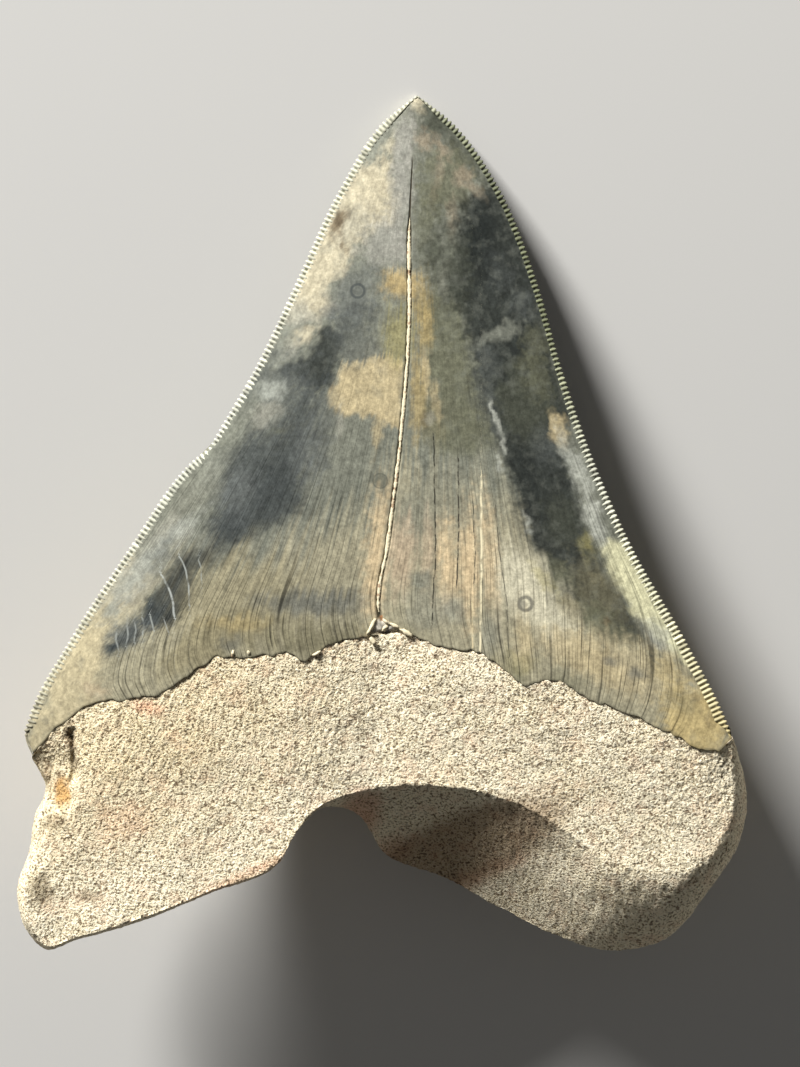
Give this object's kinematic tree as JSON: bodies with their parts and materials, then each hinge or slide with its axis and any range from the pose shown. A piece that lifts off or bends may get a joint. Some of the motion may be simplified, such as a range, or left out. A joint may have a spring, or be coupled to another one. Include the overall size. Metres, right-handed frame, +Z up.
{
  "type": "fossil megalodon tooth",
  "caption": "Fossil shark tooth lying lip side up: triangular serrated enamel crown on a worn, two-lobed root with a notch between the lobes.",
  "frame": {"origin": "centre of the tooth's box in plan, at the level of the surface it lies on", "axes": "+X to the tooth's right as seen from above, +Y from the root to the tip, +Z up, out of the lip face"},
  "size_m": [0.1112, 0.1296, 0.0317],
  "materials": {
    "tooth": "satin enamel crown and a matt, gritty root"
  },
  "bodies": {
    "root": {"tooth": "tooth"}
  },
  "joints": []
}
